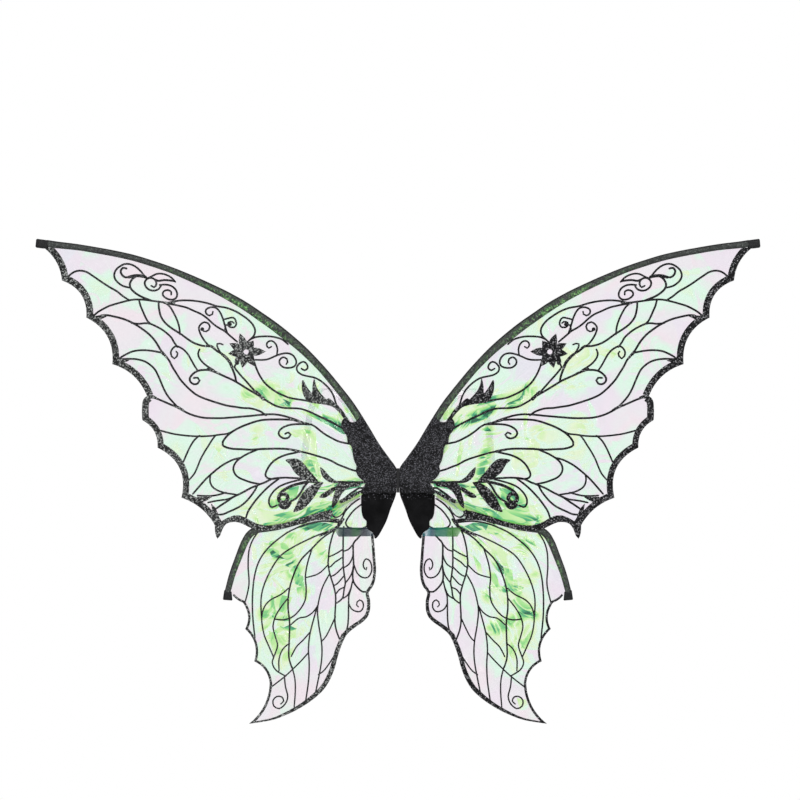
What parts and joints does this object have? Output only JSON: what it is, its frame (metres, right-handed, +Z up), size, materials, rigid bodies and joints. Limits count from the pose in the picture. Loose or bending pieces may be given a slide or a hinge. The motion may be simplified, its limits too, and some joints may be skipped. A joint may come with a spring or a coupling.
{
  "type": "fairy costume wings",
  "caption": "Film wings for a fairy costume: sleeved rods carry veined iridescent panels that fold back from a centre pad worn on the back with clear arm loops.",
  "frame": {"origin": "centre of the flat face of the back pad that rests on the wearer", "axes": "+X to the right as seen from behind the wearer, +Y into the wearer's back, +Z up. The wings are spread in the XZ plane and their outer faces look to -Y."},
  "size_m": [0.9584, 0.198, 0.6438],
  "materials": {
    "iridescent_film": "clear film with green and pink shine, crinkled",
    "sleeve_fabric": "black sleeve wrapped with a dark green shine",
    "glitter_fabric": "black glitter",
    "felt": "matt",
    "rod_plastic": "matt",
    "fold_film": "folded film, dark teal",
    "pad_plastic": "matt",
    "binding_tape": "woven",
    "clear_elastic": "clear, smooth"
  },
  "bodies": {
    "harness": {"pad_face_felt": "felt", "pad_stiffener": "pad_plastic", "pad_outer_felt": "felt", "centre_binding": "binding_tape", "right_arm_loop": "clear_elastic", "left_arm_loop": "clear_elastic"},
    "right_upper_wing": {"right_upper_film": "iridescent_film", "right_upper_sleeve": "sleeve_fabric", "right_upper_rod": "rod_plastic", "right_upper_tip_tab": "sleeve_fabric", "right_glitter_yoke": "glitter_fabric", "right_yoke_backing": "felt"},
    "right_lower_wing": {"right_lower_film": "iridescent_film", "right_lower_sleeve": "sleeve_fabric", "right_lower_rod": "rod_plastic", "right_lower_tip_tab": "sleeve_fabric", "right_felt_yoke": "felt", "right_lower_backing": "felt", "right_fold_band": "fold_film"},
    "left_upper_wing": {"left_upper_film": "iridescent_film", "left_upper_sleeve": "sleeve_fabric", "left_upper_rod": "rod_plastic", "left_upper_tip_tab": "sleeve_fabric", "left_glitter_yoke": "glitter_fabric", "left_yoke_backing": "felt"},
    "left_lower_wing": {"left_lower_film": "iridescent_film", "left_lower_sleeve": "sleeve_fabric", "left_lower_rod": "rod_plastic", "left_lower_tip_tab": "sleeve_fabric", "left_felt_yoke": "felt", "left_lower_backing": "felt", "left_fold_band": "fold_film"}
  },
  "joints": [
    {"name": "right_wing_fold", "type": "hinge", "parent": "harness", "child": "right_upper_wing", "pos_m": [0.0017, -0.0105, 0], "axis": [0, 0, -1], "range_deg": [0, 80]},
    {"name": "right_lower_wing_swing", "type": "hinge", "parent": "right_upper_wing", "child": "right_lower_wing", "pos_m": [0.0017, -0.0105, 0], "axis": [0, 0, 1], "range_deg": [0, 10]},
    {"name": "left_wing_fold", "type": "hinge", "parent": "harness", "child": "left_upper_wing", "pos_m": [-0.0017, -0.0105, 0], "axis": [0, 0, 1], "range_deg": [0, 80]},
    {"name": "left_lower_wing_swing", "type": "hinge", "parent": "left_upper_wing", "child": "left_lower_wing", "pos_m": [-0.0017, -0.0105, 0], "axis": [0, 0, -1], "range_deg": [0, 10]}
  ]
}
